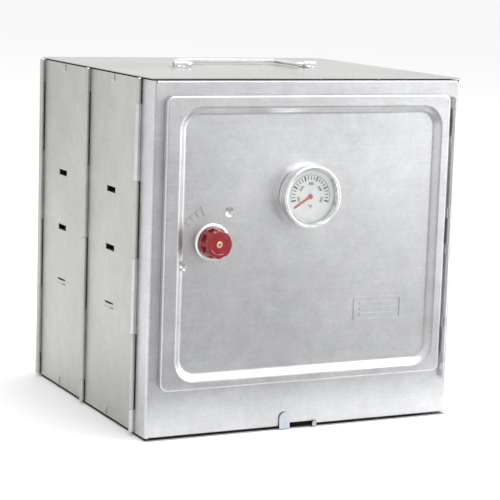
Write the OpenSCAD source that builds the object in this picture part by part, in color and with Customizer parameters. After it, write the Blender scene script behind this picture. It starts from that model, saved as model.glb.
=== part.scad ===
// Folding sheet-metal camp oven.
// Origin: centre of the footprint on the resting plane. +Z is up, the door
// faces -Y. All lengths are millimetres, all angles are degrees.
// The drawing shows the oven set up, door shut, latch turned to open, rack
// stowed upright against the back wall and carrying handle folded flat.

/* [Oven box] */
// Outer width over the side panels
body_w = 296; // [294:1:300]
// Outer depth from front face to back face
body_d = 266; // [264:0.5:270]
// Outer height over bottom and top panel
body_h = 305; // [304:0.5:307]
// Thickness of the aluminised steel sheet
sheet_t = 0.8; // [0.7:0.05:0.9]

/* [Side hinges] */
// Outer diameter of the rolled hinge barrels
barrel_d = 5; // [4.8:0.1:5.2]
// Diameter of the hinge pin wire
pin_d = 3.2; // [3.0:0.1:3.3]
// Radial running clearance of every hinge pin
pin_gap = 0.05; // [0.03:0.01:0.08]
// Depth of the front frame, front face to first hinge axis
frame_depth = 26; // [25.5:0.5:27]
// Distance between two neighbouring side hinge axes
half_len = 116.3; // [115.5:0.1:116.3]
// Gap between two hinge knuckles
knuckle_gap = 0.4; // [0.3:0.1:0.6]

/* [Door] */
// Left edge of the door, from the centre plane
door_x0 = -137.5; // [-138:0.5:-136]
// Right edge of the door, from the centre plane
door_x1 = 134.5; // [133:0.5:135]
// Bottom edge of the door above the ground
door_z0 = 42.7; // [42:0.1:44]
// Top edge of the door above the ground
door_z1 = 291; // [290:0.5:292]
// How far the door rim stands in front of the frame
door_proud = 6; // [5.6:0.1:6.4]
// Depth of the pressed recess behind the rim
recess_depth = 4.8; // [4.4:0.1:5.0]

/* [Latch] */
// Latch axis, from the centre plane
latch_x = -91.5; // [-93:0.5:-90]
// Latch axis above the ground
latch_z = 168; // [166:0.5:170]
// Diameter of the knob at its foot
knob_d = 26.5; // [26:0.5:28]
// Length of the knob
knob_len = 13; // [12.5:0.5:15]

/* [Heat gauge] */
// Gauge axis, from the centre plane
gauge_x = -4; // [-6:0.5:-2]
// Gauge axis above the ground
gauge_z = 205; // [203:0.5:207]
// Outer diameter of the bezel
gauge_d = 54; // [53.5:0.5:55]
// How far the bezel stands in front of the door's recess floor
gauge_proud = 14; // [13.5:0.1:14.5]

/* [Rack and handle] */
// Width of the wire rack
rack_w = 284; // [280:1:284]
// Depth of the wire rack
rack_len = 195; // [190:1:196]
// Diameter of the rack wires
rack_wire = 3; // [2.8:0.1:3]
// Width of the carrying handle over its brackets
handle_w = 143; // [140:1:146]
// Diameter of the handle wire
handle_wire = 4; // [3.8:0.1:4]

/* [Hidden] */

t = sheet_t;
sx = body_w/2;                 // outer face of a side panel
y_f = -body_d/2;               // front face
y_b = body_d/2;                // outer face of the back
br = barrel_d/2;
pr = pin_d/2;
bore = pr + pin_gap;
kx = sx + br - t;              // side hinge axes: leaf's inner face is tangent
ky_f = y_f + frame_depth;      // front hinge axis
ky_m = ky_f + half_len;        // middle hinge axis
ky_r = ky_m + half_len;        // rear hinge axis
back_leaf = 3.2;               // leaf edge to foreign hinge axis
wall_z0 = 2.6;                 // lower edge of all walls
wall_z1 = body_h - 2;          // upper edge of all walls
hz_y = y_b + br - t;           // top and bottom hinge axes, behind the back
hz_t = body_h - br;
hz_b = br;
kz = [wall_z0, 22.5, 87.5, 152.5, 217.5, 282.5, wall_z1]; // knuckle ends
kh = [for (i = [0:7]) -144 + i*288/7];                    // knuckle ends along X
slot_z = [203, 152.2, 101.6];  // rack levels
slot_y = [y_f + 86.5, y_f + 204.5];
rim_y = y_f - door_proud;      // front of the door rim
floor_y = rim_y + recess_depth;// front of the recess floor
dh_x = 140.5;                  // door hinge axis
dh_y = y_f - 2.5;
dh_r = 2.2;
dh_pin = 1.3;
dh_loops = [70.3, 169, 266.2]; // centres of the frame's hinge loops

// ---------- helpers ----------
module box(x0, x1, y0, y1, z0, z1)
  translate([x0, y0, z0]) cube([x1 - x0, y1 - y0, z1 - z0]);
// a flat shape drawn as X and Z, between two Y planes
module xz(y0, y1) translate([0, y1, 0]) rotate([90, 0, 0]) linear_extrude(y1 - y0) children();
// a round bar or bore along Y
module ycyl(x, z, r, y0, y1, fn = 48)
  translate([x, y1, z]) rotate([90, 0, 0]) cylinder(r = r, h = y1 - y0, $fn = fn);
module xcyl(y, z, r, x0, x1, fn = 48)
  translate([x0, y, z]) rotate([0, 90, 0]) cylinder(r = r, h = x1 - x0, $fn = fn);
module zcyl(x, y, r, z0, z1, fn = 48)
  translate([x, y, z0]) cylinder(r = r, h = z1 - z0, $fn = fn);
// turned shape round the Y axis through x,z: points are [radius, y]
module yturn(x, z, pts, fn = 64)
  translate([x, 0, z]) rotate([-90, 0, 0]) rotate_extrude($fn = fn) polygon(pts);
module rrect(x0, x1, z0, z1, r, fn = 64) {
  translate([x0 + r, z0]) square([x1 - x0 - 2*r, z1 - z0]);
  translate([x0, z0 + r]) square([x1 - x0, z1 - z0 - 2*r]);
  for (x = [x0 + r, x1 - r], z = [z0 + r, z1 - r]) translate([x, z]) circle(r = r, $fn = fn);
}
// a profile of [inward distance, y] carried round a rounded rectangle
module ring(x0, x1, z0, z1, R, prof, fn = 64) {
  translate([0, 0, z0 + R]) linear_extrude(z1 - z0 - 2*R) polygon([for (p = prof) [x0 + p[0], p[1]]]);
  translate([0, 0, z0 + R]) linear_extrude(z1 - z0 - 2*R) polygon([for (p = prof) [x1 - p[0], p[1]]]);
  translate([x0 + R, 0, 0]) rotate([90, 0, 90]) linear_extrude(x1 - x0 - 2*R) polygon([for (p = prof) [p[1], z0 + p[0]]]);
  translate([x0 + R, 0, 0]) rotate([90, 0, 90]) linear_extrude(x1 - x0 - 2*R) polygon([for (p = prof) [p[1], z1 - p[0]]]);
  for (c = [[x1 - R, z0 + R, 0], [x0 + R, z0 + R, 90], [x0 + R, z1 - R, 180], [x1 - R, z1 - R, 270]])
    translate([c[0], 0, c[1]]) rotate([-90, 0, 0]) rotate([0, 0, c[2]])
      rotate_extrude(angle = 90, $fn = fn) polygon([for (p = prof) [R - p[0], p[1]]]);
}
// quarter bend: points on an arc round c, radius r, from angle a to b
function arc(c, r, a, b, n = 6) = [for (i = [0:n]) [c[0] + r*cos(a + (b - a)*i/n), c[1] + r*sin(a + (b - a)*i/n)]];
// S-shaped wall of pressed sheet: [d, y] from d0,y0 to d1,y1
function s_wall(d0, y0, d1, y1, n = 10) = [for (i = [0:n]) let (u = i/n) [d0 + (d1 - d0)*u, y0 + (y1 - y0)*(u*u*(3 - 2*u))]];
// short thick arc band as a flat outline
function band(r0, r1, a0, a1, n = 8) = concat(
  [for (i = [0:n]) [r1*cos(a0 + (a1 - a0)*i/n), r1*sin(a0 + (a1 - a0)*i/n)]],
  [for (i = [n:-1:0]) [r0*cos(a0 + (a1 - a0)*i/n), r0*sin(a0 + (a1 - a0)*i/n)]]);

// upright knuckles of one leaf on the left side; dir = +1 when the leaf lies
// behind the axis (towards +Y), -1 when it lies in front of it
module knuckles(ay, own, dir) difference() {
  for (i = own) {
    zcyl(-kx, ay, br, kz[i] + knuckle_gap/2, kz[i + 1] - knuckle_gap/2);
    box(-sx, -sx + t, min(ay, ay + dir*(back_leaf + 0.2)), max(ay, ay + dir*(back_leaf + 0.2)),
        kz[i] + knuckle_gap/2, kz[i + 1] - knuckle_gap/2);
  }
  zcyl(-kx, ay, bore, -1, body_h + 1);
}
// knuckles along X on one of the two hinges behind the back
module x_barrels(az, own) for (i = own)
  xcyl(hz_y, az, br, kh[i] + knuckle_gap/2, kh[i + 1] - knuckle_gap/2);

// ---------- side panels ----------
// one half of the left wall, between a front and a rear hinge axis
module side_half(y0, y1, own0, own1, ys) {
  ydt = ys + 1;
  difference() {
    union() {
      box(-sx, -sx + t, y0 + back_leaf, y1 - back_leaf, wall_z0, wall_z1);
      knuckles(y0, own0, 1);
      knuckles(y1, own1, -1);
      // pressed bosses near the upper and lower edge
      for (p = [[ydt, 299.2], [ys + 4, 6.6]]) for (k = [-1.9, 1.9])
        intersection() {
          translate([-sx + 1.6, p[0] + k, p[1]]) union() {
            translate([0, 0, -2]) cylinder(r = 2.8, h = 4, $fn = 40);
            for (s = [-2, 2]) translate([0, 0, s]) sphere(r = 2.8, $fn = 40);
          }
          box(-sx - 3, -sx + 0.4, p[0] + k - 1.8, p[0] + k + 1.8, wall_z0, wall_z1);
        }
    }
    // rack slots
    for (z = slot_z) box(-sx - 1, -sx + t + 1, ys - 9.5, ys + 9.5, z - 2.5, z + 2.5);
  }
  // rack shelves, bent inward from the slots' lower edges
  for (z = [slot_z[0], slot_z[1]])
    box(-sx + 0.2, -sx + t + 3, ys - 9.3, ys + 9.3, z - 3.3, z - 2.5);
  // bridge lances of the lowest level, bowed outward
  translate([0, 0, slot_z[2] - 1.5]) linear_extrude(3)
    polygon(concat([[-sx + t, ys - 9.8], [-sx, ys - 9.8]],
      [for (i = [1:9]) [-sx - 1.7*sin(18*i), ys - 9.8 + 19.6*i/10]],
      [[-sx, ys + 9.8], [-sx + t, ys + 9.8]],
      [for (i = [9:-1:1]) [-sx + t - 1.7*sin(18*i), ys - 9.8 + 19.6*i/10]]));
}
module left_rear_side() color([0.74, 0.73, 0.70])
  side_half(ky_m, ky_r, [0, 2, 4], [1, 3, 5], slot_y[1]);
module left_front_side() color([0.74, 0.73, 0.70])
  side_half(ky_f, ky_m, [1, 3, 5], [1, 3, 5], slot_y[0]);
module right_rear_side() color([0.74, 0.73, 0.70]) mirror([1, 0, 0])
  side_half(ky_m, ky_r, [0, 2, 4], [1, 3, 5], slot_y[1]);
module right_front_side() color([0.74, 0.73, 0.70]) mirror([1, 0, 0])
  side_half(ky_f, ky_m, [1, 3, 5], [1, 3, 5], slot_y[0]);

// ---------- front frame ----------
module front_frame() color([0.80, 0.80, 0.80]) difference() {
  union() {
    difference() {
      xz(y_f, y_f + t) difference() {
        translate([-sx + 3, wall_z0 + 1.5]) square([body_w - 6, wall_z1 - wall_z0 - 3]);
        rrect(-126, 126, 54, 281, 12);
      }
    }
    // rounded upright edges with the side flanges
    for (m = [0, 1]) mirror([m, 0, 0]) translate([0, 0, wall_z0]) linear_extrude(wall_z1 - wall_z0)
      polygon(concat([[-sx + 3.2, y_f + t], [-sx + 3.2, y_f]],
        arc([-sx + 3, y_f + 3], 3, 270, 180),
        [[-sx, ky_f - back_leaf], [-sx + t, ky_f - back_leaf]],
        arc([-sx + 3, y_f + 3], 3 - t, 180, 270)));
    // folded-in upper and lower edges
    for (s = [0, 1]) translate([-sx + 4, 0, s*(wall_z0 + wall_z1)]) mirror([0, 0, s])
      rotate([90, 0, 90]) linear_extrude(body_w - 8)
        polygon(concat([[y_f + t, wall_z0 + 1.7], [y_f, wall_z0 + 1.7]],
          arc([y_f + 1.5, wall_z0 + 1.5], 1.5, 180, 270),
          [[y_f + 12, wall_z0], [y_f + 12, wall_z0 + t]],
          arc([y_f + 1.5, wall_z0 + 1.5], 1.5 - t, 270, 180)));
    for (m = [0, 1]) mirror([m, 0, 0]) knuckles(ky_f, [0, 2, 4], -1);
    // loops that hold the door's hinge wire
    for (z = dh_loops) {
      zcyl(dh_x, dh_y, dh_r, z - 12, z + 12);
      box(dh_x + dh_r - t, dh_x + dh_r, dh_y, y_f + 0.5, z - 12, z + 12);
    }
  }
  zcyl(dh_x, dh_y, dh_pin + pin_gap, 20, 300);
  // notch for the bottom panel's clip
  box(-22.5, 15, y_f - 1, y_f + 13, wall_z0 - 1, 5.6);
}

// ---------- door ----------
module door_panel() color([0.82, 0.82, 0.82]) difference() {
  union() {
    // skirt and rounded outer edge
    ring(door_x0, door_x1, door_z0, door_z1, 7,
      concat([[t, y_f - 0.3], [0, y_f - 0.3]], [for (p = arc([1.8, rim_y + 1.8], 1.8, 180, 270)) p],
        [[2.4, rim_y], [2.4, rim_y + t]], [for (p = arc([1.8, rim_y + 1.8], 1.0, 270, 180)) p]));
    // flat rim
    xz(rim_y, rim_y + t) difference() {
      rrect(door_x0 + 2.2, door_x1 - 2.2, door_z0 + 2.2, door_z1 - 2.2, 4.8);
      rrect(-125.8, 126.8, 49.2, 282.3, 19.8);
    }
    // pressed S-shaped wall of the recess
    ring(-126, 127, 49, 282.5, 20,
      concat([[-0.4, rim_y + t], [-0.4, rim_y]], s_wall(0, rim_y, 7.8, floor_y),
        [[8.2, floor_y], [8.2, floor_y + t]],
        [for (i = [10:-1:0]) let (u = i/10) [-0.3 + 7.8*u, rim_y + t + (floor_y - rim_y)*(u*u*(3 - 2*u))]]));
    // recess floor
    xz(floor_y, floor_y + t) rrect(-118.2, 119.2, 56.8, 274.7, 12.2);
    // hinge leaf strips and rolled edge
    for (s = [[190.2, 245], [91.5, 147.8], [43.4, 49.1]]) {
      zcyl(dh_x, dh_y, dh_r, s[0], s[1]);
      box(door_x1 - 0.6, dh_x, dh_y + dh_r - t, dh_y + dh_r, s[0], s[1]);
    }
    // two round dimples pressed inward beside the latch
    for (p = [[-76.5, 193], [-117.5, 149]]) intersection() {
      translate([p[0], floor_y - 3.1, p[1]]) sphere(r = 6.1, $fn = 48);
      ycyl(p[0], p[1], 6, floor_y + 0.1, floor_y + 5);
    }
    // raised turn arrow over the latch: three dashes and an arrow head
    xz(floor_y - 0.7, floor_y + 0.1) translate([latch_x, latch_z]) {
      for (a = [[146, 137], [134, 125], [122, 113]]) polygon(band(25.5, 31, a[1], a[0], 3));
      polygon([for (q = [[24, 111], [33, 111], [28.4, 96]]) [q[0]*cos(q[1]), q[0]*sin(q[1])]]);
    }
    // plain raised field at the lower right: a border and three bars
    xz(floor_y - 0.7, floor_y + 0.1) translate([71, 103]) {
      difference() { rrect(-24, 24, -10.5, 10.5, 3.5, 32); rrect(-22.4, 22.4, -8.9, 8.9, 2.2, 32); }
      for (z = [-5, 0, 5]) rrect(-18, 18, z - 1, z + 1, 0.9, 24);
    }
  }
  zcyl(dh_x, dh_y, dh_pin + pin_gap, 20, 300);
  ycyl(latch_x, latch_z, 3.06, floor_y - 1, floor_y + 3);
  ycyl(gauge_x, gauge_z, 4.06, floor_y - 1, floor_y + 3);
  for (p = [[-76.5, 193], [-117.5, 149]])
    translate([p[0], floor_y - 3.1, p[1]]) sphere(r = 5.3, $fn = 48);
}

// ---------- back, top and bottom ----------
module back_panel() color([0.72, 0.72, 0.71]) difference() {
  union() {
    xz(y_b - t, y_b) difference() {
      translate([-sx + 2, hz_b + back_leaf]) square([body_w - 4, hz_t - hz_b - 2*back_leaf]);
      difference() { rrect(-108, 108, 42, 263, 22); rrect(-99, 99, 51, 254, 13); }
    }
    // raised stiffening bead
    ring(-108.4, 108.4, 41.6, 263.4, 22.4, concat([[0, y_b - t], [0, y_b]],
      [for (i = [0:8]) [0.6 + 8.6*i/8, y_b + 1.6*sin(22.5*i)]], [[9.8, y_b], [9.8, y_b - t]],
      [for (i = [8:-1:0]) [0.9 + 8.0*i/8, y_b - t + 1.5*sin(22.5*i)]]));
    for (m = [0, 1]) mirror([m, 0, 0]) {
      translate([0, 0, hz_b + back_leaf]) linear_extrude(hz_t - hz_b - 2*back_leaf)
        polygon(concat([[-sx + 2.2, y_b - t], [-sx + 2.2, y_b]],
          arc([-sx + 2, y_b - 2], 2, 90, 180),
          [[-sx, ky_r + back_leaf], [-sx + t, ky_r + back_leaf]],
          arc([-sx + 2, y_b - 2], 2 - t, 180, 90)));
      knuckles(ky_r, [0, 2, 4], 1);
      // web where the lowest knuckle runs below the flange
    }
    // knuckles of the top and bottom hinges
    x_barrels(hz_t, [0, 2, 4, 6]);
    x_barrels(hz_b, [0, 2, 4, 6]);
    for (i = [0, 2, 4, 6]) {
      box(kh[i] + knuckle_gap/2, kh[i + 1] - knuckle_gap/2, y_b - t, y_b, hz_t - back_leaf - 0.2, hz_t);
      box(kh[i] + knuckle_gap/2, kh[i + 1] - knuckle_gap/2, y_b - t, y_b, hz_b, hz_b + back_leaf + 0.2);
    }
    // lanced eyes that carry the rack
    for (x = [-95, 95]) xcyl(y_b - t - rack_wire/2, slot_z[2], rack_wire/2 + 1.05, x - 5, x + 5);
  }
  xcyl(hz_y, hz_t, bore, -160, 160);
  xcyl(hz_y, hz_b, bore, -160, 160);
  for (x = [-95, 95]) xcyl(y_b - t - rack_wire/2, slot_z[2], rack_wire/2 + 0.06, x - 6, x + 6);
}

module top_panel() color([0.76, 0.76, 0.75]) difference() {
  union() {
    box(-sx, sx, y_f + 2.6, hz_y - back_leaf, body_h - t, body_h);
    // turned-down front lip in the frame's upper edge
    x_barrels(hz_t, [1, 3, 5]);
    for (i = [1, 3, 5])
      box(kh[i] + knuckle_gap/2, kh[i + 1] - knuckle_gap/2, hz_y - back_leaf - 0.2, hz_y, body_h - t, body_h);
  }
  xcyl(hz_y, hz_t, bore, -160, 160);
  for (x = [-1, 1], y = [-7.5, 7.5]) zcyl(x*(handle_w/2 - 6), y, 1.5, body_h - t - 1, body_h + 1);
}

module bottom_panel() color([0.66, 0.66, 0.65]) difference() {
  union() {
    box(-sx, sx, y_f, hz_y - back_leaf, 0, t);
    x_barrels(hz_b, [1, 3, 5]);
    for (i = [1, 3, 5])
      box(kh[i] + knuckle_gap/2, kh[i + 1] - knuckle_gap/2, hz_y - back_leaf - 0.2, hz_y, 0, t);
    // curled lug at the right end of the frame's notch
    translate([10, 0, 0]) rotate([90, 0, 90]) linear_extrude(4)
      polygon(concat([[y_f + 0.5, 0], [y_f - 0.9, 0]], arc([y_f - 0.9, 1.6], 1.6, 270, 180),
        [[y_f - 2.5, 4.4], [y_f - 3.1, 5.4], [y_f - 2.4, 5.8], [y_f - 1.7, 4.5]],
        arc([y_f - 0.9, 1.6], 0.8, 180, 270), [[y_f + 0.5, 0.8]]));
  }
  xcyl(hz_y, hz_b, bore, -160, 160);
  // heat slots round the spreader disc
  for (i = [0:11]) rotate([0, 0, i*30 + 15]) translate([0, 0, -1]) linear_extrude(t + 2) {
    translate([67, -5]) square([26, 10]);
    translate([67, 0]) circle(r = 5, $fn = 32);
    translate([93, 0]) circle(r = 5, $fn = 32);
  }
  for (a = [45:90:359]) rotate([0, 0, a]) zcyl(42, 0, 1.6, -1, t + 1);
}

// ---------- pins ----------
module side_pin(ay) color([0.55, 0.55, 0.57]) {
  zcyl(-kx, ay, pr, wall_z0 + 0.2, wall_z1);
  translate([-kx, ay, wall_z1]) cylinder(r1 = br - 0.2, r2 = br - 0.9, h = 0.7, $fn = 40);
}
module left_rear_pin() side_pin(ky_r);
module left_mid_pin() side_pin(ky_m);
module left_front_pin() side_pin(ky_f);
module right_rear_pin() mirror([1, 0, 0]) side_pin(ky_r);
module right_mid_pin() mirror([1, 0, 0]) side_pin(ky_m);
module right_front_pin() mirror([1, 0, 0]) side_pin(ky_f);
module door_pin() color([0.70, 0.70, 0.70]) {
  zcyl(dh_x, dh_y, dh_pin, 36, 288, 40);
  translate([dh_x, dh_y, 288]) cylinder(r1 = 1.9, r2 = 1.4, h = 0.8, $fn = 40);
}
module x_pin(az) color([0.55, 0.55, 0.57]) {
  xcyl(hz_y, az, pr, -144.6, 144.6);
  for (m = [0, 1]) mirror([m, 0, 0]) translate([144.4, hz_y, az]) rotate([0, 90, 0])
    cylinder(r1 = br - 0.3, r2 = br - 0.9, h = 0.8, $fn = 40);
}
module top_pin() x_pin(hz_t);
module bottom_pin() x_pin(hz_b);

// ---------- fittings of the bottom panel ----------
module heat_spreader() color([0.60, 0.60, 0.60]) difference() {
  translate([0, 0, t]) cylinder(r = 56, h = 0.7, $fn = 96);
  for (a = [45:90:359]) rotate([0, 0, a]) zcyl(42, 0, 1.6, -1, t + 3);
}
module spreader_rivets() color([0.75, 0.75, 0.75])
  for (a = [45:90:359]) rotate([0, 0, a]) translate([42, 0, 0]) {
    translate([0, 0, 0.1]) cylinder(r = 1.55, h = t + 0.9, $fn = 32);
    translate([0, 0, t + 0.7]) cylinder(r1 = 3.2, r2 = 2.2, h = 0.6, $fn = 32);
  }
module bottom_clip() color([0.78, 0.80, 0.83]) {
  box(-22, -12, y_f - 1.6, y_f + 10, t, 2*t);
  xz(y_f - 1.6, y_f - 0.8) union() {
    translate([-22, t]) square([10, 10]);
    translate([-17, 10.4]) circle(r = 5, $fn = 48);
  }
}

// ---------- rack ----------
rk_y = y_b - t - rack_wire/2;
rw = rack_wire/2;
module rack_frame() color([0.72, 0.72, 0.74]) {
  x = rack_w/2 - rw;
  z0 = slot_z[2];
  z1 = slot_z[2] + rack_len - 2*rw;
  for (z = [z0, z1]) xcyl(rk_y, z, rw, -x + 8, x - 8, 32);
  for (s = [-x, x]) zcyl(s, rk_y, rw, z0 + 8, z1 - 8, 32);
  for (c = [[x - 8, z0 + 8, 0], [-x + 8, z0 + 8, 90], [-x + 8, z1 - 8, 180], [x - 8, z1 - 8, 270]])
    translate([c[0], rk_y, c[1]]) rotate([-90, 0, 0]) rotate([0, 0, c[2]])
      rotate_extrude(angle = 90, $fn = 64) translate([8, 0]) circle(r = rw, $fn = 32);
}
module rack_rods() color([0.72, 0.72, 0.74])
  for (z = [121, 140.5, 160, 179.5, 207.5, 227, 246.5, 266, 280.5])
    xcyl(rk_y, z, rw - 0.1, -rack_w/2 + 1.2*rack_wire - 0.8, rack_w/2 - 1.2*rack_wire + 0.8, 32);

// ---------- latch ----------
esc_y = floor_y - 1.8;
knob_y1 = esc_y - 0.3;            // foot of the knob
knob_y0 = knob_y1 - knob_len;     // face of the knob
module knob() color([0.62, 0.05, 0.07]) {
  r = knob_d/2;
  difference() {
    yturn(latch_x, latch_z, concat([[3.05, knob_y1], [r - 0.7, knob_y1], [r, knob_y1 - 0.7], [r - 0.2, knob_y1 - 3]],
      [[r - 1.1, knob_y0 + 2.2]], arc([r - 2.9, knob_y0 + 1.8], 1.8, 0, -90, 5),
      [[8.6, knob_y0], [7.9, knob_y0 + 0.7], [1.45, knob_y0 + 0.7], [1.45, knob_y0 + 2.6], [3.05, knob_y0 + 2.6]]));
    for (i = [0:7]) translate([latch_x, 0, latch_z]) rotate([0, i*45 + 22.5, 0])
      translate([r + 2.35, knob_y1 - 3.2, 0]) rotate([92.5, 0, 0]) rotate([0, 0, 0])
        cylinder(r = 4.7, h = 30, $fn = 40);
  }
}
module knob_eyelet() color([0.85, 0.72, 0.62])
  yturn(latch_x, latch_z, [[0.9, knob_y0 + 2.5], [1.4, knob_y0 + 2.5], [1.4, knob_y0 + 0.65],
    [2.7, knob_y0 + 0.65], [2.7, knob_y0 + 0.3], [2.2, knob_y0 - 0.2], [1.3, knob_y0 - 0.2], [0.9, knob_y0 + 0.3]], 40);
module escutcheon() color([0.83, 0.83, 0.84])
  yturn(latch_x, latch_z, [[3.06, floor_y], [15.8, floor_y], [15.8, floor_y - 0.7], [15.1, esc_y + 0.3],
    [14.4, esc_y], [3.06, esc_y]]);
module latch_spindle() color([0.70, 0.70, 0.71]) {
  ycyl(latch_x, latch_z, 3, knob_y0 + 2.65, floor_y + 6.6);
}
module spring_washer() color([0.60, 0.60, 0.62])
  yturn(latch_x, latch_z, [[3.1, floor_y + t], [6.6, floor_y + t], [7.4, floor_y + t + 1.1],
    [7.4, floor_y + t + 1.6], [6.3, floor_y + t + 0.5], [3.1, floor_y + t + 0.5]], 48);
lev_y = floor_y + t + 1.8;
module latch_lever() color([0.66, 0.66, 0.67]) difference() {
  xz(lev_y, lev_y + 1.5) {
    translate([latch_x, latch_z]) circle(r = 8, $fn = 48);
    translate([latch_x - 5, latch_z]) square([10, 38]);
    translate([latch_x, latch_z + 38]) circle(r = 5, $fn = 40);
  }
  ycyl(latch_x, latch_z, 3.05, lev_y - 1, lev_y + 3);
}
module latch_clip() color([0.45, 0.45, 0.47]) difference() {
  ycyl(latch_x, latch_z, 5.2, lev_y + 1.6, lev_y + 2.5);
  ycyl(latch_x, latch_z, 3.05, lev_y + 1, lev_y + 3);
  box(latch_x - 1.8, latch_x + 1.8, lev_y + 1, lev_y + 3, latch_z, latch_z + 8);
}

// ---------- heat gauge ----------
gf = floor_y - gauge_proud;       // front of the bezel
gr = gauge_d/2;
dial_y = gf + 7.2;
module gauge_case() color([0.80, 0.80, 0.82])
  yturn(gauge_x, gauge_z, [[0, floor_y], [4, floor_y], [4, floor_y + 7], [3.4, floor_y + 7.6], [0, floor_y + 7.6]], 48)
  ;
module gauge_shell()
  yturn(gauge_x, gauge_z, [[0, floor_y], [gr - 2, floor_y], [gr - 2, dial_y + 0.9], [gr - 2.8, dial_y + 0.9],
    [gr - 2.8, floor_y - 0.8], [0, floor_y - 0.8]]);
module gauge_bezel() color([0.88, 0.88, 0.90])
  yturn(gauge_x, gauge_z, concat([[gr - 1.9, floor_y - 0.6], [gr - 0.9, floor_y - 0.6], [gr - 0.5, floor_y - 1.4],
      [gr - 0.9, floor_y - 2.2], [gr - 1.1, gf + 6], [gr - 0.5, gf + 5.2], [gr - 0.5, gf + 4.4], [gr - 0.1, gf + 3.8]],
    arc([gr - 1.5, gf + 1.5], 1.5, 0, -120, 8),
    [[gr - 2.9, gf + 1.2], [gr - 4.1, dial_y - 2.4], [gr - 4.1, dial_y], [gr - 3.1, dial_y], [gr - 1.9, dial_y + 0.6]]), 96);
module gauge_dial() color([0.93, 0.93, 0.92]) difference() {
  ycyl(gauge_x, gauge_z, gr - 3.2, dial_y + 0.05, dial_y + 0.55, 96);
  ycyl(gauge_x, gauge_z, 0.8, dial_y - 1, dial_y + 2, 24);
}
module gauge_glass() color([0.9, 0.95, 0.95, 0.3])
  ycyl(gauge_x, gauge_z, gr - 4.3, dial_y - 2.3, dial_y - 1.3, 96);
module gauge_needle() color([0.80, 0.08, 0.10]) {
  ycyl(gauge_x, gauge_z, 0.7, dial_y - 1.1, dial_y + 4.2, 24);
  ycyl(gauge_x, gauge_z, 2.1, dial_y - 1.15, dial_y - 0.35, 40);
  translate([gauge_x, 0, gauge_z]) rotate([0, 148 - 180 + 0, 0]) translate([0, 0, 0])
    box(-18, -1, dial_y - 0.95, dial_y - 0.5, -0.75, 0.75);
}
// flat bimetal spiral behind the dial
module gauge_coil() color([0.70, 0.62, 0.45])
  translate([gauge_x, dial_y + 3.9, gauge_z]) rotate([90, 0, 0]) linear_extrude(2.4)
    polygon(concat([for (i = [0:72]) let (a = i*20, r = 1.5 + i*0.19) [r*cos(a), r*sin(a)]],
      [for (i = [72:-1:0]) let (a = i*20, r = 2.0 + i*0.19) [r*cos(a), r*sin(a)]]));
module gauge_nut() color([0.70, 0.68, 0.62]) difference() {
  translate([gauge_x, floor_y + t + 3.2, gauge_z]) rotate([90, 0, 0]) cylinder(r = 7.5, h = 3.2, $fn = 6);
  ycyl(gauge_x, gauge_z, 4.05, floor_y, floor_y + 6);
}

// ---------- carrying handle ----------
hb_z = body_h + 3;
hr = handle_wire/2;
hx = handle_w/2 - 6;              // bracket centre
grip_y = 44;
module handle_brackets() color([0.85, 0.85, 0.86]) for (m = [0, 1]) mirror([m, 0, 0]) difference() {
  union() {
    box(hx - 6, hx + 6, -11.5, 11.5, body_h, body_h + 0.9);
    xcyl(0, hb_z, hr + 0.85, hx - 6, hx + 6);
    box(hx - 6, hx + 6, -hr - 0.85, hr + 0.85, body_h, hb_z);
  }
  xcyl(0, hb_z, hr + 0.06, hx - 8, hx + 8);
  box(hx - 8, hx + 8, -hr - 0.06, hr + 0.06, body_h + 0.9, hb_z);
  for (y = [-7.5, 7.5]) zcyl(hx, y, 1.5, body_h - 1, body_h + 3);
}
module handle_bail() color([0.80, 0.80, 0.82]) for (m = [0, 1]) mirror([m, 0, 0]) {
  R = 6;
  lx = hx - 6 - R - 1;            // leg
  xcyl(0, hb_z, hr, lx + R, hx + 5.4, 40);
  translate([lx + R, R, hb_z]) rotate([0, 0, 180]) rotate_extrude(angle = 90, $fn = 64) translate([R, 0]) circle(r = hr, $fn = 40);
  translate([lx, R, hb_z]) rotate([-90, 0, 0]) cylinder(r = hr, h = grip_y - 2*R, $fn = 40);
  translate([lx - R, grip_y - R, hb_z]) rotate_extrude(angle = 90, $fn = 64) translate([R, 0]) circle(r = hr, $fn = 40);
  xcyl(grip_y, hb_z, hr, -0.01, lx - R, 40);
}
module handle_rivets() color([0.70, 0.70, 0.70]) for (x = [-hx, hx], y = [-7.5, 7.5]) {
  zcyl(x, y, 1.45, body_h - t - 0.1, body_h + 1, 32);
  translate([x, y, body_h + 0.9]) cylinder(r1 = 2.9, r2 = 1.9, h = 0.8, $fn = 32);
  translate([x, y, body_h - t - 0.6]) cylinder(r1 = 2.2, r2 = 2.9, h = 0.6, $fn = 32);
}

back_panel();
left_rear_side();
left_front_side();
right_rear_side();
right_front_side();
front_frame();
door_panel();
top_panel();
bottom_panel();
left_rear_pin();
left_mid_pin();
left_front_pin();
right_rear_pin();
right_mid_pin();
right_front_pin();
door_pin();
top_pin();
bottom_pin();
heat_spreader();
spreader_rivets();
bottom_clip();
rack_frame();
rack_rods();
knob();
knob_eyelet();
escutcheon();
latch_spindle();
spring_washer();
latch_lever();
latch_clip();
union() { gauge_case(); color([0.80, 0.80, 0.82]) gauge_shell(); }
gauge_bezel();
gauge_dial();
gauge_glass();
gauge_needle();
gauge_coil();
gauge_nut();
handle_bail();
handle_brackets();
handle_rivets();
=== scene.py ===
import math
import bpy
import bmesh
from mathutils import Matrix, Vector


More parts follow.
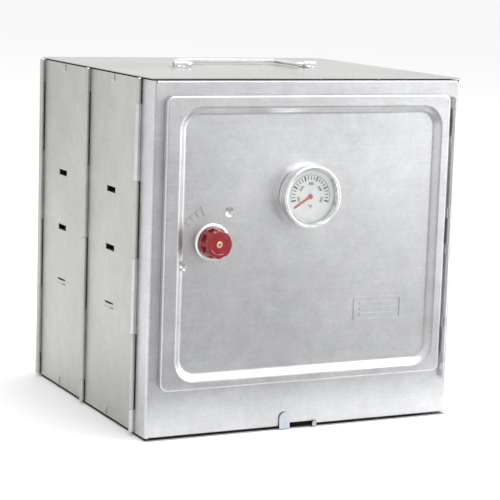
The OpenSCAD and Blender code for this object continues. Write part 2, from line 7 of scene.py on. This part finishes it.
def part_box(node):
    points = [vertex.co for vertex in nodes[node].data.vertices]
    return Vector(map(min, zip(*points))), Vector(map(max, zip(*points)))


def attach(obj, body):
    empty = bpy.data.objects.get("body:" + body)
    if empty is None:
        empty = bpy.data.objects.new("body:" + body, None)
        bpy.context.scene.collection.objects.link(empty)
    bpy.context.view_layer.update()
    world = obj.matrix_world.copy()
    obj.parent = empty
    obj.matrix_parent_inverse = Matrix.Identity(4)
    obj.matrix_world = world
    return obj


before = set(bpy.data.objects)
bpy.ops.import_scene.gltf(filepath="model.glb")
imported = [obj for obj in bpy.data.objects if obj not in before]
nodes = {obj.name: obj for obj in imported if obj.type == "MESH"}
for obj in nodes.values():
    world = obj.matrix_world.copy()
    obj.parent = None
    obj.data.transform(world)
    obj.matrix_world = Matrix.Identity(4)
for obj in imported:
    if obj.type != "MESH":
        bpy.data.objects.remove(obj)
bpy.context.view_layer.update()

MM = 0.001
scene = bpy.context.scene

# ------------------------------------------------------------------ camera
yaw, pitch, roll = math.radians(26.47), math.radians(-9.20), math.radians(1.92)
fw = Vector((math.sin(yaw)*math.cos(pitch), math.cos(yaw)*math.cos(pitch), math.sin(pitch)))
right = Vector((math.cos(yaw), -math.sin(yaw), 0))
up = right.cross(fw)
cx = math.cos(roll)*right + math.sin(roll)*up
cy = -math.sin(roll)*right + math.cos(roll)*up
cam_data = bpy.data.cameras.new("camera")
cam_data.lens = 133.49
cam_data.sensor_width = 36
cam_data.sensor_fit = "HORIZONTAL"
cam_data.clip_start = 0.05
cam_data.clip_end = 200
cam = bpy.data.objects.new("camera", cam_data)
m = Matrix((cx, cy, -fw)).transposed().to_4x4()
m.translation = Vector((-0.747, -1.522, 0.411))
cam.matrix_world = m
scene.collection.objects.link(cam)
scene.camera = cam
scene.view_settings.view_transform = "Standard"
scene.view_settings.look = "None"

# ------------------------------------------------------------- node helpers
class Mat:
    def __init__(self, name):
        self.m = bpy.data.materials.new(name)
        self.m.use_nodes = True
        self.t = self.m.node_tree
        self.b = self.t.nodes["Principled BSDF"]
        self.co = self.t.nodes.new("ShaderNodeTexCoord")

    def node(self, kind, **kw):
        n = self.t.nodes.new(kind)
        for k, v in kw.items():
            setattr(n, k, v)
        return n

    def link(self, a, b):
        self.t.links.new(a, b)

    def set(self, **kw):
        names = {"base": "Base Color", "metal": "Metallic", "rough": "Roughness", "coat": "Coat Weight",
                 "coat_rough": "Coat Roughness", "ior": "IOR", "spec": "Specular IOR Level",
                 "trans": "Transmission Weight", "aniso": "Anisotropic", "alpha": "Alpha"}
        for k, v in kw.items():
            s = self.b.inputs[names[k]]
            s.default_value = (*v, 1.0) if k == "base" else v
        return self

    def mapped(self, scale, loc=(0, 0, 0), rot=(0, 0, 0)):
        mp = self.node("ShaderNodeMapping")
        mp.inputs["Scale"].default_value = scale
        mp.inputs["Location"].default_value = loc
        mp.inputs["Rotation"].default_value = rot
        self.link(self.co.outputs["Object"], mp.inputs["Vector"])
        return mp.outputs["Vector"]

    def noise(self, vec, scale, detail=3.0, rough=0.5, dist=0.0):
        n = self.node("ShaderNodeTexNoise")
        n.inputs["Scale"].default_value = scale
        n.inputs["Detail"].default_value = detail
        n.inputs["Roughness"].default_value = rough
        n.inputs["Distortion"].default_value = dist
        self.link(vec, n.inputs["Vector"])
        return n.outputs["Fac"]

    def voronoi(self, vec, scale, feature="F1", out="Distance"):
        n = self.node("ShaderNodeTexVoronoi", feature=feature)
        n.inputs["Scale"].default_value = scale
        self.link(vec, n.inputs["Vector"])
        return n.outputs[out]

    def ramp(self, fac, stops, interp="LINEAR"):
        n = self.node("ShaderNodeValToRGB")
        n.color_ramp.interpolation = interp
        e = n.color_ramp.elements
        while len(e) < len(stops):
            e.new(0.5)
        for el, (p, c) in zip(e, stops):
            el.position = p
            el.color = (c, c, c, 1) if isinstance(c, (int, float)) else (*c, 1)
        self.link(fac, n.inputs["Fac"])
        return n.outputs["Color"]

    def math(self, op, a, b=None, clamp=False):
        n = self.node("ShaderNodeMath", operation=op, use_clamp=clamp)
        for i, v in enumerate((a, b)):
            if v is None:
                continue
            if isinstance(v, (int, float)):
                n.inputs[i].default_value = v
            else:
                self.link(v, n.inputs[i])
        return n.outputs[0]

    def mix(self, fac, a, b, blend="MIX"):
        n = self.node("ShaderNodeMix", data_type="RGBA", blend_type=blend)
        for s, v in ((n.inputs["Factor"], fac), (n.inputs["A"], a), (n.inputs["B"], b)):
            if isinstance(v, (int, float)):
                if s.name == "Factor":
                    s.default_value = v
                else:
                    s.default_value = (v, v, v, 1)
            elif isinstance(v, tuple):
                s.default_value = (*v, 1)
            else:
                self.link(v, s)
        # the RGBA sockets come after the float and vector ones
        return [o for o in n.outputs if o.type == "RGBA"][0]

    def sep(self):
        n = self.node("ShaderNodeSeparateXYZ")
        self.link(self.co.outputs["Object"], n.inputs[0])
        return n.outputs

    def bump(self, height, strength, dist, normal=None):
        n = self.node("ShaderNodeBump")
        n.inputs["Strength"].default_value = strength
        n.inputs["Distance"].default_value = dist
        self.link(height, n.inputs["Height"])
        if normal is not None:
            self.link(normal, n.inputs["Normal"])
        return n.outputs["Normal"]

    def to(self, out, name):
        self.link(out, self.b.inputs[name])


def give(name, mat):
    o = nodes[name]
    o.data.materials.clear()
    o.data.materials.append(mat.m)


# ---------------------------------------------------------------- materials
def sheet_metal(name, base=(0.50, 0.50, 0.50), rough=0.36, brush="x", warp=0.0, dark=None):
    """Aluminium-coated sheet: cloudy tone, fine spangle, faint rolling lines."""
    M = Mat(name)
    M.set(metal=1.0)
    v = M.mapped((1, 1, 1))
    cloud = M.noise(v, 9.0, 4.0, 0.55)
    mottle = M.noise(v, 60.0, 3.0, 0.6)
    spangle = M.voronoi(v, 420.0, "F1", "Color")
    lines_v = M.mapped({"x": (25, 400, 900), "z": (900, 900, 25)}[brush])
    lines = M.noise(lines_v, 1.0, 2.0, 0.5)
    tone = M.ramp(cloud, [(0.30, 0.90), (0.70, 1.07)])
    tone2 = M.ramp(mottle, [(0.30, 0.95), (0.70, 1.04)])
    tone3 = M.ramp(lines, [(0.25, 0.96), (0.75, 1.04)])
    col = M.mix(1.0, base, tone, "MULTIPLY")
    col = M.mix(1.0, col, tone2, "MULTIPLY")
    col = M.mix(1.0, col, tone3, "MULTIPLY")
    sp = M.node("ShaderNodeSeparateColor")
    M.link(spangle, sp.inputs[0])
    tone4 = M.ramp(sp.outputs[0], [(0.0, 0.96), (1.0, 1.03)])
    col = M.mix(1.0, col, tone4, "MULTIPLY")
    M.to(col, "Base Color")
    r = M.math("MULTIPLY_ADD", mottle, 0.10)
    r.node.inputs[2].default_value = rough - 0.05
    r2 = M.math("MULTIPLY_ADD", lines, 0.06)
    M.link(r, r2.node.inputs[2])
    M.to(r2, "Roughness")
    h = M.math("MULTIPLY_ADD", lines, 0.5)
    M.link(mottle, h.node.inputs[2])
    nrm = M.bump(h, 0.12, 0.0004)
    if warp:
        big = M.noise(M.mapped((1, 1, 1), loc=(0.3, 0.1, 0.7)), 6.0, 1.0, 0.4)
        nrm = M.bump(big, warp, 0.02, nrm)
    M.to(nrm, "Normal")
    return M


def plain_metal(name, base, rough, noise_scale=200.0, bump=0.08):
    M = Mat(name)
    M.set(metal=1.0)
    v = M.mapped((1, 1, 1))
    n = M.noise(v, noise_scale, 3.0, 0.6)
    col = M.mix(1.0, base, M.ramp(n, [(0.3, 0.90), (0.7, 1.06)]), "MULTIPLY")
    M.to(col, "Base Color")
    r = M.math("MULTIPLY_ADD", n, 0.10)
    r.node.inputs[2].default_value = rough - 0.05
    M.to(r, "Roughness")
    M.to(M.bump(n, bump, 0.0002), "Normal")
    return M


# the front frame and door get a brighter base than the sides' same sheet: painted light standing in for the
# key light falling on the front
sheet_front_painted_light = sheet_metal("sheet_front_painted_light", (0.60, 0.605, 0.615), 0.34, "x", warp=0.10)
sheet_side = sheet_metal("sheet_side", (0.50, 0.495, 0.475), 0.40, "z", warp=0.05)
sheet_top = sheet_metal("sheet_top", (0.50, 0.495, 0.475), 0.26, "x", warp=0.25)
sheet_low = sheet_metal("sheet_low", (0.46, 0.46, 0.46), 0.40, "x")
wire = plain_metal("hinge_wire", (0.50, 0.50, 0.52), 0.30)
zinc = plain_metal("zinc_parts", (0.50, 0.54, 0.60), 0.34)
plated = plain_metal("plated_wire", (0.62, 0.62, 0.62), 0.22)
bright = plain_metal("bright_plate", (0.80, 0.80, 0.81), 0.14, 120.0, 0.04)
spun = plain_metal("spun_aluminium", (0.88, 0.88, 0.89), 0.20, 150.0, 0.04)
brass = plain_metal("brass", (0.82, 0.62, 0.42), 0.30)

for n in ("front_frame", "door_panel"):
    give(n, sheet_front_painted_light)
for n in ("left_rear_side", "left_front_side", "right_rear_side", "right_front_side", "back_panel"):
    give(n, sheet_side)
give("top_panel", sheet_top)
for n in ("bottom_panel", "heat_spreader"):
    give(n, sheet_low)
for n in nodes:
    if n.endswith("_pin"):
        give(n, wire)
for n in ("spreader_rivets", "handle_rivets", "bottom_clip", "latch_spindle", "spring_washer", "latch_lever", "latch_clip", "gauge_case"):
    give(n, zinc)
for n in ("rack_frame", "rack_rods"):
    give(n, plated)
for n in ("handle_bail", "handle_brackets"):
    give(n, bright)
for n in ("escutcheon", "gauge_bezel"):
    give(n, spun)
for n in ("knob_eyelet", "gauge_nut", "gauge_coil"):
    give(n, brass)

# knob: glossy dark red
K = Mat("knob_red")
v = K.mapped((1, 1, 1))
n1 = K.noise(v, 90.0, 3.0, 0.6)
K.to(K.mix(1.0, (0.22, 0.003, 0.007), K.ramp(n1, [(0.3, 0.80), (0.7, 1.15)]), "MULTIPLY"), "Base Color")
K.to(K.ramp(n1, [(0.3, 0.16), (0.7, 0.24)]), "Roughness")
K.to(K.bump(K.noise(v, 900.0, 2.0), 0.04, 0.0002), "Normal")
K.set(coat=0.4, coat_rough=0.06)
give("knob", K)

# needle
N = Mat("needle_red")
n1 = N.noise(N.mapped((1, 1, 1)), 400.0)
N.to(N.mix(1.0, (0.62, 0.02, 0.03), N.ramp(n1, [(0.3, 0.9), (0.7, 1.1)]), "MULTIPLY"), "Base Color")
N.set(rough=0.35)
give("gauge_needle", N)

# dial face
D = Mat("dial_white")
n1 = D.noise(D.mapped((1, 1, 1)), 120.0)
D.to(D.mix(1.0, (0.86, 0.865, 0.85), D.ramp(n1, [(0.3, 0.97), (0.7, 1.02)]), "MULTIPLY"), "Base Color")
D.set(rough=0.45)
give("gauge_dial", D)

# glass
G = Mat("glass")
n1 = G.noise(G.mapped((1, 1, 1)), 60.0)
G.to(G.mix(n1, (0.96, 0.985, 0.975), (0.98, 0.995, 0.99)), "Base Color")
G.set(rough=0.02, trans=1.0, ior=1.45)
give("gauge_glass", G)

# black print
P = Mat("print_black")
n1 = P.noise(P.mapped((1, 1, 1)), 500.0)
P.to(P.mix(1.0, (0.02, 0.022, 0.02), P.ramp(n1, [(0.3, 0.8), (0.7, 1.3)]), "MULTIPLY"), "Base Color")
P.set(rough=0.5)

# -------------------------------------------------------------- dial print
gx, gz = -4*MM, 205*MM
dial_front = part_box("gauge_dial")[0].y
GR = 27*MM


def flat_poly(bm, pts, y, thick=0.00012):
    """a thin printed shape in the XZ plane, its face towards -Y"""
    f = [bm.verts.new((p[0], y - thick, p[1])) for p in pts]
    b = [bm.verts.new((p[0], y, p[1])) for p in pts]
    bm.faces.new(f)
    bm.faces.new(list(reversed(b)))
    for i in range(len(pts)):
        j = (i + 1) % len(pts)
        bm.faces.new((f[j], f[i], b[i], b[j]))


def polar(r, deg):
    a = math.radians(deg)
    return (gx + r*math.cos(a), gz + r*math.sin(a))


def tick(bm, r0, r1, w0, w1, deg):
    a = math.radians(deg)
    ux, uz = math.cos(a), math.sin(a)
    px, pz = -uz, ux
    pts = [(gx + r*ux + s*px, gz + r*uz + s*pz) for r, s in ((r0, w0/2), (r0, -w0/2), (r1, -w1/2), (r1, w1/2))]
    flat_poly(bm, pts, dial_front)


def mesh_piece(name, bm, mat, body):
    bmesh.ops.recalc_face_normals(bm, faces=bm.faces[:])
    me = bpy.data.meshes.new(name)
    bm.to_mesh(me)
    bm.free()
    o = bpy.data.objects.new(name, me)
    scene.collection.objects.link(o)
    me.materials.append(mat.m)
    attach(o, body)
    return o


bm = bmesh.new()
A0, A1 = 192.0, -15.0
for i in range(41):
    a = A0 + (A1 - A0)*i/40
    if i % 8 == 0:
        tick(bm, 14.0*MM, 18.2*MM, 1.15*MM, 1.35*MM, a)
    elif i % 2 == 0:
        tick(bm, 14.4*MM, 17.5*MM, 0.65*MM, 0.80*MM, a)
# narrow scale arc
n = 60
for r0, r1 in ((18.5, 18.8),):
    for i in range(n):
        a, b = A0 + (A1 - A0)*i/n, A0 + (A1 - A0)*(i + 1)/n
        flat_poly(bm, [polar(r0*MM, a), polar(r1*MM, a), polar(r1*MM, b), polar(r0*MM, b)], dial_front)
mesh_piece("dial_scale", bm, P, "door")


def label(name, text, x, z, size, body="door", turn=0.0):
    cu = bpy.data.curves.new(name, "FONT")
    cu.body = text
    cu.size = size
    cu.align_x = "CENTER"
    cu.align_y = "CENTER"
    cu.extrude = 0.00006
    cu.offset = size*0.012
    o = bpy.data.objects.new(name, cu)
    scene.collection.objects.link(o)
    o.matrix_world = Matrix.Translation((x, dial_front - 0.00008, z)) @ Matrix.Rotation(math.radians(90), 4, "X") @ Matrix.Rotation(math.radians(turn), 4, "Z")
    bpy.context.view_layer.update()
    me = bpy.data.meshes.new_from_object(o.evaluated_get(bpy.context.evaluated_depsgraph_get()))
    me.transform(o.matrix_world)
    bpy.data.objects.remove(o)
    bpy.data.curves.remove(cu)
    p = bpy.data.objects.new(name, me)
    scene.collection.objects.link(p)
    me.materials.clear()
    me.materials.append(P.m)
    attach(p, body)
    return p


for i, t in enumerate(("100", "200", "300", "400", "500")):
    a = A0 + (A1 - A0)*(i*10)/40
    p = polar(11.0*MM, a)
    label("dial_number_" + t, t, p[0], p[1], 3.4*MM, turn=a - 90)
label("dial_unit", "°F", gx, gz - 9.0*MM, 4.4*MM)

# -------------------------------------------------------------------- stage
bm = bmesh.new()
bmesh.ops.create_grid(bm, x_segments=1, y_segments=1, size=40.0)
me = bpy.data.meshes.new("floor")
bm.to_mesh(me)
bm.free()
floor = bpy.data.objects.new("floor", me)
scene.collection.objects.link(floor)
floor.location.z = -0.0002
F = Mat("floor_pale")
n1 = F.noise(F.mapped((1, 1, 1)), 3.0)
F.to(F.mix(n1, (0.93, 0.93, 0.93), (0.94, 0.94, 0.94)), "Base Color")
F.set(rough=0.9, spec=0.05)
me.materials.append(F.m)

# lights
def area(name, loc, target, size, energy, color=(1, 1, 1), size_y=None):
    d = bpy.data.lights.new(name, "AREA")
    d.energy = energy
    d.color = color
    d.size = size
    if size_y:
        d.shape = "RECTANGLE"
        d.size_y = size_y
    o = bpy.data.objects.new(name, d)
    scene.collection.objects.link(o)
    o.location = loc
    o.rotation_euler = (Vector(target) - Vector(loc)).to_track_quat("-Z", "Y").to_euler()
    o.visible_camera = False
    return o


area("key_right", (1.9, -1.0, 1.1), (0, 0, 0.15), 1.6, 42.0, size_y=1.6)
area("overhead", (0.3, -0.3, 2.2), (0, 0, 0.1), 1.8, 30.0)

world = bpy.data.worlds.new("studio")
scene.world = world
world.use_nodes = True
wt = world.node_tree
bg = wt.nodes["Background"]
bg.inputs["Color"].default_value = (1.0, 1.0, 1.0, 1)
bg.inputs["Strength"].default_value = 1.0

# dark studio cards that only the metal reflects: one lying low in front, one standing upright in front
def card(name, corners, tone):
    bm = bmesh.new()
    bm.faces.new([bm.verts.new(c) for c in corners])
    me = bpy.data.meshes.new(name)
    bm.to_mesh(me)
    bm.free()
    o = bpy.data.objects.new(name, me)
    scene.collection.objects.link(o)
    C = Mat(name)
    C.set(base=(tone, tone, tone), rough=0.95, spec=0.0)
    me.materials.append(C.m)
    o.visible_camera = False
    o.visible_shadow = False
    o.visible_diffuse = False
    o.visible_transmission = False


card("card_low", [(-0.8, -2.4, 0.004), (0.75, -2.4, 0.004), (0.45, -0.22, 0.004), (-0.35, -0.22, 0.004)], 0.30)
card("card_front", [(-0.35, -1.7, 0.0), (0.35, -1.7, 0.0), (0.35, -1.7, 0.55), (-0.35, -1.7, 0.55)], 0.20)
